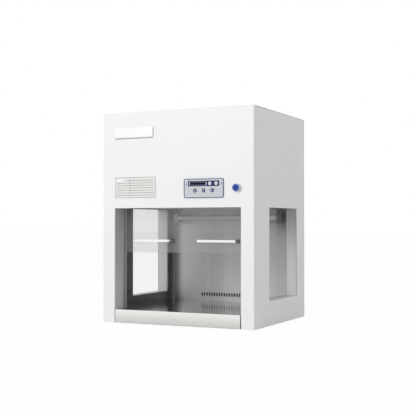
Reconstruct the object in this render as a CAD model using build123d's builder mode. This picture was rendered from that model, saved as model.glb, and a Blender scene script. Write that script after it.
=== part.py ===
"""Compact bench-top vertical laminar flow hood.

Millimetres. +Z is up, the user stands at -Y, and +X is the user's right. The origin lies on the bench
under the middle of the whole hood. Distances called "behind" are measured back from the cabinet's front
face, and levels called "above" are measured up from the cabinet's underside.
"""

import os

from build123d import *

os.makedirs("parts", exist_ok=True)

# ---------------------------------------------------------------- cabinet
width = 500.0
depth = 418.0
height = 636.0
sheet = 1.5
bend = 2.0
flange = 15.0
foot_drop = 3.0
foot_radius = 14.0
foot_inset = 45.0

# Front: two posts and a header round the work opening
post_width = 41.0
jamb_return = 50.0
corner_return = 15.0
opening_drop = 9.5
header_lip = 30.0
top_return = 75.0
top_shadow_gap = 1.2
top_cover_gap = 0.4

# Work chamber, in stainless sheet
liner = 1.2
worktop_level = 40.0
wall_setback = 37.0
chamber_rear_gap = 35.0
apron_gap = 2.2
apron_radius = 3.0
rail_from_side = 90.0
rail_front = 60.0

# Return-air slots low in the chamber's rear wall
slot_count = 23
slot_pitch = 9.15
slot_width = 5.0
slot_height = 12.5
slot_level = 62.8

# Side windows
window_front = 115.5
window_rear_margin = 72.5
window_bottom = 72.0
window_drop = 9.0
window_rear_step = 14.0
window_lap = 7.5
pane = 3.0
gasket = 1.0

# Sliding sash
guide_depth = 21.0
guide_width = 10.0
guide_drop = 6.0
sash_front = 55.5
sash_thickness = 5.0
sash_bottom = 212.0
sash_height = 315.0
sash_bevel = 0.5
sash_side_play = 1.5
sash_face_play = 0.35
groove_depth = 6.5
groove_flare = 1.5
grip_end_gap = 36.5
grip_height = 7.0
grip_thickness = 3.0
grip_bend = 3.5
grip_level = 248.0
grip_standoff = 7.5
grip_inner_end = 46.0
grip_foot = 12.0
stop_width = 9.0
stop_height = 11.0
stop_thickness = 5.0
stop_inner_gap = 3.0
stop_outer_gap = 0.5

# Ceiling: light strip, diffuser, filter
diffuser_drop = 6.0
diffuser_front = 90.0
diffuser_rows = 15
diffuser_columns = 4
diffuser_slot = 5.0
light_depth = 14.0
light_bevel = 2.0
light_end_gap = 23.0
ceiling_opening_lap = 20.0
filter_side_gap = 22.3
filter_end_gap = 10.8
filter_height = 69.0
filter_wall = 15.0
filter_gasket_height = 6.0
pleat_count = 24
pleat_thickness = 3.0
clamp_width = 40.0
clamp_rise = 22.0

# Blower
plenum_height = 208.0
impeller_radius = 100.0
impeller_height = 58.0
impeller_inlet_radius = 64.0
impeller_drop = 8.0
blade_count = 7
blade_thickness = 2.0
hub_radius = 18.0
shaft_radius = 5.0
shaft_clearance = 0.05
motor_radius = 46.0
motor_height = 34.0
motor_play = 0.3
motor_boss_radius = 14.0
motor_boss_height = 6.0
motor_spigot_radius = 32.0
motor_spigot_height = 3.0
motor_bevel = 3.0
shaft_end_height = 4.0
shroud_collar = 8.0
shroud_fall = 17.0
shroud_thickness = 1.5
hub_height = 18.0
back_plate = 3.0
blade_sweep = 42.0
blade_curve = 75.0
nozzle_gap = 1.5
nozzle_overlap = 4.0
nozzle_flare = 12.0
nozzle_rim = 10.0
bracket_width = 70.0
bracket_clearance = 12.0
strap = 3.0
strap_bend = 4.0

# Intake between the fan deck and the top cover
intake_height = 69.0
duct_size = 262.0
prefilter_thickness = 15.0
prefilter_drop = 6.0
prefilter_play = 0.3
intake_slot = 5.0
intake_slot_length = 72.0
intake_rows = 15
intake_columns = 3

# Ultraviolet lamp
lamp_drop = 37.0
lamp_radius = 8.0
lamp_cap_length = 12.0
lamp_cap_step = 0.3
lamp_side_gap = 27.0
lamp_rear_gap = 14.5
socket_width = 12.0
socket_height = 28.0
socket_box_length = 50.0
socket_box_height = 37.0
socket_box_depth = 5.0
socket_recess = 4.0
socket_front = 12.0
socket_round = 5.0
socket_play = 0.3

# Control panel, keys and display
panel_from_right = 157.7
panel_rise = 55.7
panel_width = 127.5
panel_height = 55.6
panel_thickness = 2.0
panel_radius = 4.0
panel_rim = 2.6
panel_rim_height = 0.8
panel_margin = 5.5
lens_width = 101.0
lens_height = 15.8
lens_thickness = 1.0
lens_rise = 13.7
display_width = 52.0
display_height = 5.6
display_shift = -18.6
lens_key_shifts = (20.7, 40.8)
lower_key_pitch = 27.8
lower_key_drop = 6.3
key_radius = 5.7
key_play = 0.2
key_collar = 1.3
key_proud = 1.3
key_travel = 0.8
key_bevel = 0.6
board_behind = 9.0
board_thickness = 1.6
board_margin = 7.0
boss_radius = 3.5
switch_size = 6.0
switch_height = 2.0

# Power button
button_from_right = 52.5
button_bezel_radius = 12.5
button_front_radius = 11.6
button_cap_radius = 10.4
button_proud = 9.2
button_cap_rise = 0.8
button_travel = 3.0
button_play = 0.15
button_bevel = 0.8
button_flange = 1.0
button_shoulder = 2.5
button_stop_gap = 1.2
button_hole_radius = 11.0
button_body_length = 24.0
nut_margin = 1.5
nut_thickness = 3.0
contact_block = 20.0
contact_size = 22.0
contact_round = 2.0
terminal_thickness = 1.0

# Plates on the header
nameplate_from_left = 107.7
nameplate_drop = 63.0
nameplate_width = 134.5
nameplate_height = 34.2
nameplate_thickness = 1.5
nameplate_radius = 6.0
rating_from_left = 112.5
rating_rise = 61.5
rating_width = 139.5
rating_height = 62.0
rating_thickness = 0.5
rating_radius = 1.5

# Electrical boxes beside the intake duct, and the mains inlet
box_width = 80.0
box_length = 150.0
box_height = 38.0
box_bevel = 2.0
ballast_width = 46.0
ballast_length = 180.0
ballast_height = 30.0
ballast_bevel = 4.0
box_shift = 7.0
inlet_from_right = 60.0
inlet_drop = 36.0
inlet_width = 24.5
inlet_height = 16.5
inlet_wall = 2.2
inlet_play = 0.2
inlet_depth = 22.0
inlet_bevel = 4.0
inlet_flange_width = 50.0
inlet_flange_height = 27.0
inlet_flange_thickness = 3.0
pin_length = 12.0
pin_width = 4.0
pin_thickness = 2.0
pin_spacing = 7.0

# Exhaust slots in the back panel
rear_slot_count = 12
rear_slot_width = 6.0
rear_slot_length = 42.0
rear_slot_pitch = 16.0
rear_slot_level = 150.0

# ---------------------------------------------------------------- derived places
overall_depth = button_proud + button_cap_rise + depth + inlet_flange_thickness
front = button_proud + button_cap_rise - overall_depth / 2
back = front + depth
underside = foot_drop
top = underside + height
half_width = width / 2
skin_inside = half_width - sheet

# The header's contents hang from the top, and the chamber and its opening take the rest of the height
cover_z = top - sheet
deck_z = cover_z - intake_height
filter_z = deck_z - plenum_height
ceiling_z = filter_z - sheet
opening_top_z = ceiling_z - opening_drop

opening_half = half_width - post_width
opening_height = opening_top_z - underside
worktop_z = underside + worktop_level
chamber_half = half_width - wall_setback
chamber_back = back - chamber_rear_gap
rear_inside = back - sheet

guide_front = front + jamb_return
guide_back = guide_front + guide_depth
sash_y = front + sash_front
sash_back = sash_y + sash_thickness
sash_z = underside + sash_bottom
sash_half = opening_half + groove_depth - sash_side_play
grip_y = sash_y - grip_standoff - grip_thickness
grip_z = underside + grip_level
grip_outer_end = opening_half - grip_end_gap

window_low_y = front + window_front
window_high_y = back - window_rear_margin
window_low_z = underside + window_bottom
window_high_z = ceiling_z - window_drop
pane_high_y = window_high_y + window_rear_step
pane_inside = chamber_half + liner
gasket_inside = pane_inside + pane
reveal_inside = gasket_inside + gasket

plenum_front = guide_back
carcass_back = rear_inside - sheet
plenum_y = (plenum_front + carcass_back) / 2
filter_width = 2 * (skin_inside - liner - filter_side_gap)
filter_depth = carcass_back - plenum_front - 2 * (liner + filter_end_gap)
filter_top = filter_z + filter_gasket_height + filter_height

impeller_top = deck_z - impeller_drop
impeller_bottom = impeller_top - impeller_height
nozzle_radius = impeller_inlet_radius - nozzle_gap
bracket_z = impeller_bottom - motor_height - strap
bracket_half = impeller_radius + bracket_clearance

panel_x = half_width - panel_from_right
panel_z = opening_top_z + panel_rise
button_x = half_width - button_from_right
button_z = panel_z
board_y = front + board_behind
inlet_x = half_width - inlet_from_right
inlet_z = top - inlet_drop


# ---------------------------------------------------------------- helpers
def front_plane(y):
    """A plane that faces the user: its own x is X and its own y is Z."""
    return Plane(origin=(0, y, 0), x_dir=(1, 0, 0), z_dir=(0, -1, 0))


def right_plane(x):
    """A plane that faces right: its own x is Y and its own y is Z."""
    return Plane(origin=(x, 0, 0), x_dir=(0, 1, 0), z_dir=(1, 0, 0))


def span(low_x, high_x, low_y, high_y, mode=Mode.ADD):
    """A rectangle between two corners of the sketch being drawn."""
    with Locations(((low_x + high_x) / 2, (low_y + high_y) / 2)):
        Rectangle(high_x - low_x, high_y - low_y, mode=mode)


def window_hole(mode=Mode.SUBTRACT):
    """The window's clear opening, as a rectangle in a sketch on a right plane."""
    span(window_low_y, window_high_y, window_low_z, window_high_z, mode=mode)


def window_rim():
    """The outline of the pane and of all that it is clamped between, as far as the chamber's own opening and its lap."""
    span(
        window_low_y - window_lap,
        pane_high_y + window_lap,
        window_low_z - window_lap,
        window_high_z + window_lap,
    )


def punched_slot(across, along):
    """An upright slot with its corners cut, taken out of the sketch being drawn."""
    with BuildSketch(mode=Mode.PRIVATE) as slot:
        Rectangle(across, along)
        chamfer(slot.vertices(), across * 0.3)
    add(slot.sketch, mode=Mode.SUBTRACT)


def folded(points, thickness=sheet, radius=bend):
    """The section of a bent sheet, with its outer face along the points and its metal to their left."""
    with BuildLine() as section:
        FilletPolyline(*points, radius=radius)
        offset(amount=thickness, side=Side.LEFT)
    make_face(section.edges())


def write(part, name):
    """Names one finished piece and writes its STEP file."""
    part.label = name
    export_step(part, f"parts/{name}.step")


def write_pair(right, name):
    """Writes a right-hand piece and its mirror image on the left."""
    with BuildPart() as left:
        mirror(right, about=Plane.YZ)
    write(right, f"{name}_right")
    write(left.part, f"{name}_left")


# ---------------------------------------------------------------- casing
with BuildPart() as front_panel:
    # A post: jamb return, front face and corner return in one bend
    with BuildSketch(Plane.XY.offset(underside)):
        folded([
            (opening_half, front + jamb_return),
            (opening_half, front),
            (half_width, front),
            (half_width, front + corner_return),
        ])
    extrude(amount=opening_height)
    # The post's foot is folded in, and leaves room for the side panel's lower flange
    with BuildSketch(Plane.XY.offset(underside)):
        span(opening_half + sheet / 2, skin_inside, front + sheet / 2, front + corner_return)
        span(opening_half + sheet / 2, half_width - flange, front + sheet / 2, front + jamb_return)
    extrude(amount=sheet)
    mirror(about=Plane.YZ)
    # The header, bent round both corners
    with BuildSketch(Plane.XY.offset(opening_top_z)):
        folded([
            (-half_width, front + corner_return),
            (-half_width, front),
            (half_width, front),
            (half_width, front + corner_return),
        ])
    extrude(amount=cover_z - opening_top_z)
    # The header's top is folded back over the sides, and its lower edge is folded in as a lip
    with BuildSketch(Plane.XY.offset(cover_z)) as top_fold:
        span(-half_width, half_width, front, front + top_return)
        fillet(top_fold.vertices().group_by(Axis.Y)[0], bend)
    extrude(amount=sheet)
    with BuildSketch(Plane.XY.offset(opening_top_z)):
        span(-opening_half - sheet, opening_half + sheet, front + sheet, front + header_lip)
    extrude(amount=sheet)
    # Cut-outs for the control panel and the power button
    with BuildSketch(front_plane(front)):
        with Locations((panel_x, panel_z)):
            Rectangle(panel_width - 2 * panel_margin, panel_height - 2 * panel_margin)
        with Locations((button_x, button_z)):
            Circle(button_hole_radius + button_play)
    extrude(amount=-sheet, mode=Mode.SUBTRACT)
write(front_panel.part, "front_panel")

with BuildPart() as side_panel:
    # The skin with its folded edges, cut from a shallow tray
    with BuildSketch(right_plane(half_width)):
        span(front + corner_return, back - sheet, underside, top)
    extrude(amount=-flange)
    with BuildSketch(right_plane(skin_inside)):
        span(front + corner_return, back - 2 * sheet, underside + sheet, top - 2 * sheet)
    extrude(amount=-flange, mode=Mode.SUBTRACT)
    # The top edge: the cover lies in a step, and the header's top return passes over the front of it
    with BuildSketch(right_plane(skin_inside)):
        span(front + corner_return, back, cover_z, top)
    extrude(amount=-flange, mode=Mode.SUBTRACT)
    with BuildSketch(right_plane(half_width)):
        span(front + corner_return, front + top_return, cover_z - top_shadow_gap, top)
    extrude(amount=-sheet, mode=Mode.SUBTRACT)
    # The window: a hole, a reveal folded inwards and a flange that holds the gasket
    with BuildSketch(right_plane(half_width)):
        window_hole(Mode.ADD)
    extrude(amount=-sheet, mode=Mode.SUBTRACT)
    with BuildSketch(right_plane(skin_inside)):
        span(
            window_low_y - sheet,
            window_high_y + sheet,
            window_low_z - sheet,
            window_high_z + sheet,
        )
        window_hole()
    extrude(amount=-(skin_inside - reveal_inside))
    with BuildSketch(right_plane(reveal_inside)):
        window_rim()
        window_hole()
    extrude(amount=sheet)
write_pair(side_panel.part, "side_panel")

with BuildPart() as base_pan:
    with BuildSketch(Plane.XY.offset(underside + sheet)):
        span(-skin_inside, skin_inside, guide_front, carcass_back)
    extrude(amount=flange + sheet)
    with BuildSketch(Plane.XY.offset(underside + 2 * sheet)):
        span(-skin_inside + sheet, skin_inside - sheet, guide_front + sheet, carcass_back - sheet)
    extrude(amount=flange, mode=Mode.SUBTRACT)
write(base_pan.part, "base_pan")

foot_places = [
    (side * (half_width - foot_inset), y)
    for y in (guide_front + foot_inset, back - foot_inset)
    for side in (-1, 1)
]
with BuildPart() as rubber_feet:
    with BuildSketch():
        with Locations(*foot_places):
            Circle(foot_radius)
    extrude(amount=foot_drop + sheet)
write(rubber_feet.part, "rubber_feet")

with BuildPart() as back_panel:
    with BuildSketch(front_plane(back)):
        span(-half_width, half_width, underside, cover_z)
        with Locations((inlet_x, inlet_z)):
            Rectangle(
                inlet_width + 2 * (inlet_wall + inlet_play),
                inlet_height + 2 * (inlet_wall + inlet_play),
                mode=Mode.SUBTRACT,
            )
        with Locations((0, underside + rear_slot_level)):
            with GridLocations(rear_slot_pitch, 1, rear_slot_count, 1):
                punched_slot(rear_slot_width, rear_slot_length)
    extrude(amount=sheet)
write(back_panel.part, "back_panel")

cover_front = front + top_return + top_cover_gap
cover_half = skin_inside - top_cover_gap
with BuildPart() as top_cover:
    with BuildSketch(Plane.XY.offset(cover_z)):
        span(-cover_half, cover_half, cover_front, back)
        with Locations((0, plenum_y)):
            with GridLocations(
                duct_size / intake_columns,
                duct_size / intake_rows,
                intake_columns,
                intake_rows,
            ):
                Rectangle(intake_slot_length, intake_slot, mode=Mode.SUBTRACT)
    extrude(amount=sheet)
write(top_cover.part, "top_cover")

# ---------------------------------------------------------------- work chamber
with BuildPart() as worktop:
    # Apron: the front edge bent down between the posts and back underneath
    with BuildSketch(right_plane(-opening_half + apron_gap)):
        folded(
            [
                (guide_front, worktop_z),
                (front, worktop_z),
                (front, underside),
                (guide_front, underside),
            ],
            radius=apron_radius,
        )
    extrude(amount=2 * (opening_half - apron_gap))
    with BuildSketch(Plane.XY.offset(worktop_z - sheet)):
        span(-pane_inside, pane_inside, guide_front, chamber_back + liner)
    extrude(amount=sheet)
write(worktop.part, "worktop")

with BuildPart() as worktop_rail:
    rail_y = front + rail_front
    rail_x = half_width - rail_from_side
    with BuildSketch(front_plane(rail_y)):
        folded([
            (rail_x - flange, underside + 2 * sheet),
            (rail_x, underside + 2 * sheet),
            (rail_x, worktop_z - sheet),
            (rail_x - flange, worktop_z - sheet),
        ])
    extrude(amount=-(chamber_back - rail_y))
write_pair(worktop_rail.part, "worktop_rail")

with BuildPart() as inner_wall:
    with BuildSketch(right_plane(pane_inside)):
        span(guide_back, chamber_back + liner, worktop_z, ceiling_z)
        span(window_low_y, pane_high_y, window_low_z, window_high_z, mode=Mode.SUBTRACT)
    extrude(amount=-liner)
write_pair(inner_wall.part, "inner_wall")

with BuildPart() as window_pane:
    with BuildSketch(right_plane(pane_inside)):
        window_rim()
    extrude(amount=pane)
write_pair(window_pane.part, "window_pane")

with BuildPart() as window_gasket:
    with BuildSketch(right_plane(gasket_inside)):
        window_rim()
        window_hole()
    extrude(amount=gasket)
write_pair(window_gasket.part, "window_gasket")

with BuildPart() as rear_liner:
    with BuildSketch(front_plane(chamber_back)):
        span(-chamber_half, chamber_half, worktop_z, ceiling_z)
        with Locations((0, underside + slot_level)):
            with GridLocations(slot_pitch, 1, slot_count, 1):
                punched_slot(slot_width, slot_height)
    extrude(amount=-liner)
write(rear_liner.part, "rear_liner")

# ---------------------------------------------------------------- sliding sash
groove_front = sash_y - sash_face_play
groove_back = sash_back + sash_face_play
with BuildPart() as sash_guide:
    with BuildSketch(Plane.XY.offset(worktop_z)):
        span(opening_half, opening_half + guide_width, guide_front, guide_back)
        span(opening_half, opening_half + groove_depth, groove_front, groove_back, mode=Mode.SUBTRACT)
    extrude(amount=top - guide_drop - worktop_z)
    # The groove's mouth is flared above the header for the sash to be dropped in
    guide_mouth = sash_guide.edges().group_by(Axis.Z)[-1].filter_by(Axis.X)
    chamfer(guide_mouth.filter_by_position(Axis.Y, groove_front - 0.1, groove_back + 0.1), groove_flare)
write_pair(sash_guide.part, "sash_guide")

with BuildPart() as sash_glass:
    with BuildSketch(front_plane(sash_y)):
        span(-sash_half, sash_half, sash_z, sash_z + sash_height)
    extrude(amount=-sash_thickness)
    chamfer(sash_glass.edges().filter_by(Axis.X), sash_bevel)
write(sash_glass.part, "sash_glass")

with BuildPart() as sash_grip:
    # A flat bar bent back to the glass at both ends
    with BuildSketch(Plane.XY.offset(grip_z - grip_height / 2)):
        folded(
            [
                (grip_inner_end + grip_foot, sash_y),
                (grip_inner_end, sash_y),
                (grip_inner_end, grip_y),
                (grip_outer_end, grip_y),
                (grip_outer_end, sash_y),
                (grip_outer_end - grip_foot, sash_y),
            ],
            thickness=grip_thickness,
            radius=grip_bend,
        )
    extrude(amount=grip_height)
write_pair(sash_grip.part, "sash_grip")

# Small rubber stops, one beside the right-hand end of each grip
stop_places = [
    (-grip_inner_end + stop_inner_gap + stop_width / 2, grip_z),
    (grip_outer_end + stop_outer_gap + stop_width / 2, grip_z),
]
with BuildPart() as sash_stops:
    with BuildSketch(front_plane(sash_y)):
        with Locations(*stop_places):
            stop_outline = Rectangle(stop_width, stop_height)
        chamfer(stop_outline.vertices(), stop_width * 0.1)
    extrude(amount=stop_thickness)
    with BuildSketch(front_plane(sash_y - stop_thickness)):
        with Locations(*stop_places):
            Rectangle(stop_width * 0.5, stop_height * 0.5)
    extrude(amount=-stop_thickness * 0.2, mode=Mode.SUBTRACT)
write(sash_stops.part, "sash_stops")

# ---------------------------------------------------------------- ceiling and filter
filter_low_y = plenum_y - filter_depth / 2
filter_high_y = plenum_y + filter_depth / 2
ceiling_low_y = filter_low_y + ceiling_opening_lap
ceiling_high_y = filter_high_y - ceiling_opening_lap
ceiling_half = filter_width / 2 - ceiling_opening_lap
with BuildPart() as ceiling_frame:
    with BuildSketch(Plane.XY.offset(ceiling_z)):
        span(-skin_inside, skin_inside, plenum_front, carcass_back)
        span(-ceiling_half, ceiling_half, ceiling_low_y, ceiling_high_y, mode=Mode.SUBTRACT)
    extrude(amount=sheet)
write(ceiling_frame.part, "ceiling_frame")

diffuser_y = front + diffuser_front
diffuser_length = chamber_back - diffuser_y
with BuildPart() as diffuser:
    # A shallow slotted tray with its rim turned up against the ceiling
    with BuildSketch(Plane.XY.offset(ceiling_z - diffuser_drop)):
        span(-chamber_half, chamber_half, diffuser_y, chamber_back)
    extrude(amount=diffuser_drop)
    with BuildSketch(Plane.XY.offset(ceiling_z - diffuser_drop + liner)):
        span(-chamber_half + liner, chamber_half - liner, diffuser_y + liner, chamber_back - liner)
    extrude(amount=diffuser_drop, mode=Mode.SUBTRACT)
    column_pitch = (2 * chamber_half - flange) / diffuser_columns
    row_pitch = (diffuser_length - flange) / diffuser_rows
    with BuildSketch(Plane.XY.offset(ceiling_z - diffuser_drop)):
        with Locations((0, diffuser_y + diffuser_length / 2)):
            with GridLocations(column_pitch, row_pitch, diffuser_columns, diffuser_rows):
                Rectangle(column_pitch - 2 * diffuser_slot, diffuser_slot)
    extrude(amount=liner, mode=Mode.SUBTRACT)
write(diffuser.part, "diffuser")

with BuildPart() as light_strip:
    light_y = plenum_front + (diffuser_front - jamb_return - guide_depth - light_depth) / 2
    light_half = chamber_half - light_end_gap
    with BuildSketch(right_plane(-light_half)):
        with BuildLine():
            Polyline(
                (light_y, ceiling_z),
                (light_y, ceiling_z - diffuser_drop + light_bevel),
                (light_y + light_bevel, ceiling_z - diffuser_drop),
                (light_y + light_depth - light_bevel, ceiling_z - diffuser_drop),
                (light_y + light_depth, ceiling_z - diffuser_drop + light_bevel),
                (light_y + light_depth, ceiling_z),
                close=True,
            )
        make_face()
    extrude(amount=2 * light_half)
write(light_strip.part, "light_strip")

with BuildPart() as filter_gasket:
    with BuildSketch(Plane.XY.offset(filter_z)):
        with Locations((0, plenum_y)):
            Rectangle(filter_width, filter_depth)
            Rectangle(filter_width - 2 * filter_wall, filter_depth - 2 * filter_wall, mode=Mode.SUBTRACT)
    extrude(amount=filter_gasket_height)
write(filter_gasket.part, "filter_gasket")

with BuildPart() as filter_frame:
    with BuildSketch(Plane.XY.offset(filter_z + filter_gasket_height)):
        with Locations((0, plenum_y)):
            Rectangle(filter_width, filter_depth)
            Rectangle(filter_width - 2 * filter_wall, filter_depth - 2 * filter_wall, mode=Mode.SUBTRACT)
    extrude(amount=filter_height)
write(filter_frame.part, "filter_frame")

with BuildPart() as filter_pleats:
    # One sheet of paper folded up and down, with its folds running front to back
    pleat_bottom = filter_z + filter_gasket_height
    fold_count = 2 * pleat_count
    fold_pitch = (filter_width - 2 * filter_wall) / fold_count
    fold_start = -filter_width / 2 + filter_wall
    lower_fold = [
        (fold_start + i * fold_pitch, pleat_bottom if i % 2 == 0 else filter_top - pleat_thickness)
        for i in range(fold_count + 1)
    ]
    upper_fold = [(x, z + pleat_thickness) for x, z in lower_fold]
    with BuildSketch(front_plane(filter_low_y + filter_wall)):
        with BuildLine():
            Polyline(*lower_fold, *reversed(upper_fold), close=True)
        make_face()
    extrude(amount=-(filter_depth - 2 * filter_wall))
write(filter_pleats.part, "filter_pleats")

plenum_inside = plenum_front + liner
with BuildPart() as plenum:
    with BuildSketch(Plane.XY.offset(filter_z)):
        span(-skin_inside, skin_inside, plenum_front, carcass_back)
        span(
            -skin_inside + liner,
            skin_inside - liner,
            plenum_inside,
            carcass_back - liner,
            mode=Mode.SUBTRACT,
        )
    extrude(amount=plenum_height)
write(plenum.part, "plenum")

with BuildPart() as filter_clamps:
    # Four angle clips on the plenum's walls that hold the filter down on its gasket
    for clip_x in (-filter_width / 4, filter_width / 4):
        with BuildSketch(right_plane(clip_x - clamp_width / 2)):
            folded([
                (plenum_inside, filter_top + clamp_rise),
                (plenum_inside, filter_top),
                (filter_low_y + filter_wall, filter_top),
            ])
        extrude(amount=clamp_width)
    mirror(about=Plane(origin=(0, plenum_y, 0), z_dir=(0, 1, 0)))
write(filter_clamps.part, "filter_clamps")

# ---------------------------------------------------------------- blower
fan_axis = Axis((0, plenum_y, 0), (0, 0, 1))
with BuildPart() as fan_deck:
    with BuildSketch(Plane.XY.offset(deck_z)):
        span(-skin_inside, skin_inside, plenum_front, carcass_back)
        with Locations((0, plenum_y)):
            Circle(nozzle_radius + nozzle_flare, mode=Mode.SUBTRACT)
    extrude(amount=sheet)
write(fan_deck.part, "fan_deck")

with BuildPart() as inlet_nozzle:
    # A bell pressed in two slopes: its rim lies on the deck and its throat dips into the impeller's eye
    flare_z = deck_z + sheet
    with BuildSketch(front_plane(plenum_y)):
        with BuildLine():
            Polyline(
                (nozzle_radius, impeller_top - nozzle_overlap),
                (nozzle_radius, flare_z - nozzle_flare),
                (nozzle_radius + nozzle_flare * 0.35, flare_z - nozzle_flare * 0.35),
                (nozzle_radius + nozzle_flare, flare_z),
                (nozzle_radius + nozzle_flare + nozzle_rim, flare_z),
            )
            offset(amount=liner, side=Side.LEFT, kind=Kind.INTERSECTION)
        make_face()
    revolve(axis=fan_axis)
write(inlet_nozzle.part, "inlet_nozzle")

shroud_line = [
    (impeller_inlet_radius, impeller_top),
    (impeller_inlet_radius, impeller_top - shroud_collar),
    (impeller_radius, impeller_top - shroud_fall),
]
with BuildSketch() as blade:
    with BuildLine():
        blade_tip = Vector(impeller_radius, 0).rotate(Axis.Z, -blade_sweep)
        RadiusArc((impeller_inlet_radius + shroud_thickness, 0), blade_tip, blade_curve)
        offset(amount=blade_thickness, side=Side.LEFT)
    make_face()

with BuildPart() as impeller:
    # Backward-curved blades, trimmed to the space between the back plate and the shroud
    with BuildSketch(Plane.XY.offset(impeller_bottom)):
        with Locations((0, plenum_y)):
            with PolarLocations(0, blade_count):
                add(blade.sketch)
    extrude(amount=impeller_height)
    with BuildSketch(front_plane(plenum_y)):
        with BuildLine():
            Polyline(
                *shroud_line,
                (impeller_radius, impeller_bottom),
                (0, impeller_bottom),
                (0, impeller_top),
                close=True,
            )
        make_face()
    revolve(axis=fan_axis, mode=Mode.INTERSECT)
    # Back plate, hub and shroud
    with BuildSketch(Plane.XY.offset(impeller_bottom)):
        with Locations((0, plenum_y)):
            Circle(impeller_radius)
    extrude(amount=back_plate)
    with BuildSketch(Plane.XY.offset(impeller_bottom)):
        with Locations((0, plenum_y)):
            Circle(hub_radius)
    extrude(amount=hub_height)
    with BuildSketch(front_plane(plenum_y)):
        with BuildLine():
            Polyline(*shroud_line)
            offset(amount=shroud_thickness, side=Side.LEFT, kind=Kind.INTERSECTION)
        make_face()
    revolve(axis=fan_axis)
    with BuildSketch(Plane.XY.offset(impeller_bottom)):
        with Locations((0, plenum_y)):
            Circle(shaft_radius + shaft_clearance)
    extrude(amount=hub_height, mode=Mode.SUBTRACT)
write(impeller.part, "impeller")

with BuildPart() as fan_motor:
    # A turned can on a spigot, with a boss under the impeller and the shaft through its hub
    motor_z = bracket_z + strap
    can_bottom = motor_z + motor_spigot_height
    boss_top = impeller_bottom - motor_play
    can_top = boss_top - motor_boss_height
    shaft_top = impeller_bottom + hub_height + shaft_end_height
    with BuildSketch(front_plane(plenum_y)):
        with BuildLine():
            Polyline(
                (0, motor_z),
                (motor_spigot_radius, motor_z),
                (motor_spigot_radius, can_bottom),
                (motor_radius - motor_bevel, can_bottom),
                (motor_radius, can_bottom + motor_bevel),
                (motor_radius, can_top - motor_bevel),
                (motor_radius - motor_bevel, can_top),
                (motor_boss_radius, can_top),
                (motor_boss_radius, boss_top),
                (shaft_radius, boss_top),
                (shaft_radius, shaft_top),
                (0, shaft_top),
                close=True,
            )
        make_face()
    revolve(axis=fan_axis)
write(fan_motor.part, "fan_motor")

with BuildPart() as motor_bracket:
    # A strap bent into a U, hung from the deck
    with BuildSketch(front_plane(plenum_y - bracket_width / 2)):
        folded(
            [
                (-bracket_half - flange, deck_z - strap),
                (-bracket_half, deck_z - strap),
                (-bracket_half, bracket_z),
                (bracket_half, bracket_z),
                (bracket_half, deck_z - strap),
                (bracket_half + flange, deck_z - strap),
            ],
            thickness=strap,
            radius=strap_bend,
        )
    extrude(amount=-bracket_width)
write(motor_bracket.part, "motor_bracket")

# ---------------------------------------------------------------- intake
duct_half = duct_size / 2
ledge_z = cover_z - prefilter_drop - prefilter_thickness - liner
with BuildPart() as intake_duct:
    with BuildSketch(Plane.XY.offset(deck_z + sheet)):
        with Locations((0, plenum_y)):
            Rectangle(duct_size, duct_size)
            Rectangle(duct_size - 2 * liner, duct_size - 2 * liner, mode=Mode.SUBTRACT)
    extrude(amount=cover_z - deck_z - sheet)
    with BuildSketch(Plane.XY.offset(ledge_z)):
        with Locations((0, plenum_y)):
            Rectangle(duct_size, duct_size)
            Rectangle(duct_size - 2 * flange, duct_size - 2 * flange, mode=Mode.SUBTRACT)
    extrude(amount=liner)
write(intake_duct.part, "intake_duct")

with BuildPart() as prefilter:
    pad_size = duct_size - 2 * (liner + prefilter_play)
    with BuildSketch(Plane.XY.offset(ledge_z + liner)):
        with Locations((0, plenum_y)):
            Rectangle(pad_size, pad_size)
    extrude(amount=prefilter_thickness)
write(prefilter.part, "prefilter")

# ---------------------------------------------------------------- ultraviolet lamp
lamp_half_length = chamber_half - lamp_side_gap
lamp_y = chamber_back - lamp_rear_gap
lamp_z = ceiling_z - lamp_drop
cap_radius = lamp_radius + lamp_cap_step
lamp_plane = Plane(origin=(0, lamp_y, lamp_z), x_dir=(0, 1, 0), z_dir=(1, 0, 0))
with BuildPart() as uv_tube:
    with BuildSketch(lamp_plane.offset(-lamp_half_length + lamp_cap_length)):
        Circle(lamp_radius)
    extrude(amount=2 * (lamp_half_length - lamp_cap_length))
    for cap_start in (-lamp_half_length, lamp_half_length - lamp_cap_length):
        with BuildSketch(lamp_plane.offset(cap_start)):
            Circle(cap_radius)
        extrude(amount=lamp_cap_length)
write(uv_tube.part, "uv_tube")

with BuildPart() as uv_socket:
    # A lamp holder at the outer end of a shallow box on the rear wall, which the tube passes in front of
    socket_x = lamp_half_length - socket_recess
    socket_end = socket_x + socket_width
    with BuildSketch(right_plane(socket_x)):
        span(
            lamp_y - socket_front,
            chamber_back,
            lamp_z - socket_height / 2,
            lamp_z + socket_height / 2,
        )
    extrude(amount=socket_width)
    fillet(uv_socket.edges().filter_by(Axis.X).group_by(Axis.Y)[0], socket_round)
    with BuildSketch(lamp_plane.offset(socket_x)):
        Circle(cap_radius + socket_play)
    extrude(amount=socket_recess + socket_play, mode=Mode.SUBTRACT)
    with BuildSketch(front_plane(chamber_back)):
        span(
            socket_end - socket_box_length,
            socket_end,
            lamp_z - socket_box_height / 2,
            lamp_z + socket_box_height / 2,
        )
    extrude(amount=socket_box_depth)
write_pair(uv_socket.part, "uv_socket")

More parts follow.
